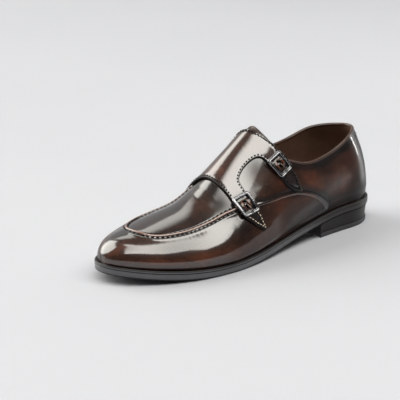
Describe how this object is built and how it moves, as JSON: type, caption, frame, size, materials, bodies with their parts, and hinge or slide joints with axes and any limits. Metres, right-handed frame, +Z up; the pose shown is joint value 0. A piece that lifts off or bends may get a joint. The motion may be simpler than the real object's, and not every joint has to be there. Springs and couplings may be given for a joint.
{
  "type": "monk strap shoe",
  "caption": "Left leather monk strap shoe with a hollow upper, a wide buckled strap over the instep, a low heel and a rubber sole.",
  "frame": {"origin": "middle of the bounding box in plan, on the floor plane under the sole", "axes": "+X towards the toe, +Y to the outer side of the foot (the wearer's left), +Z up"},
  "size_m": [0.3, 0.0988, 0.1047],
  "materials": {
    "upper_leather": "burnished, glossy",
    "strap_leather": "burnished, glossy",
    "tongue_leather": "satin",
    "lining_leather": "matte",
    "buckle_metal": "polished gunmetal plating",
    "sole_rubber": "satin",
    "heel_rubber": "satin"
  },
  "bodies": {
    "root": {"upper": "upper_leather", "tongue": "tongue_leather", "monk_strap": "strap_leather", "buckle_lower": "buckle_metal", "buckle_upper": "buckle_metal", "prong_lower": "buckle_metal", "prong_upper": "buckle_metal", "insole": "lining_leather", "outsole": "sole_rubber", "heel_block": "sole_rubber", "heel_top_piece": "heel_rubber"}
  },
  "joints": []
}
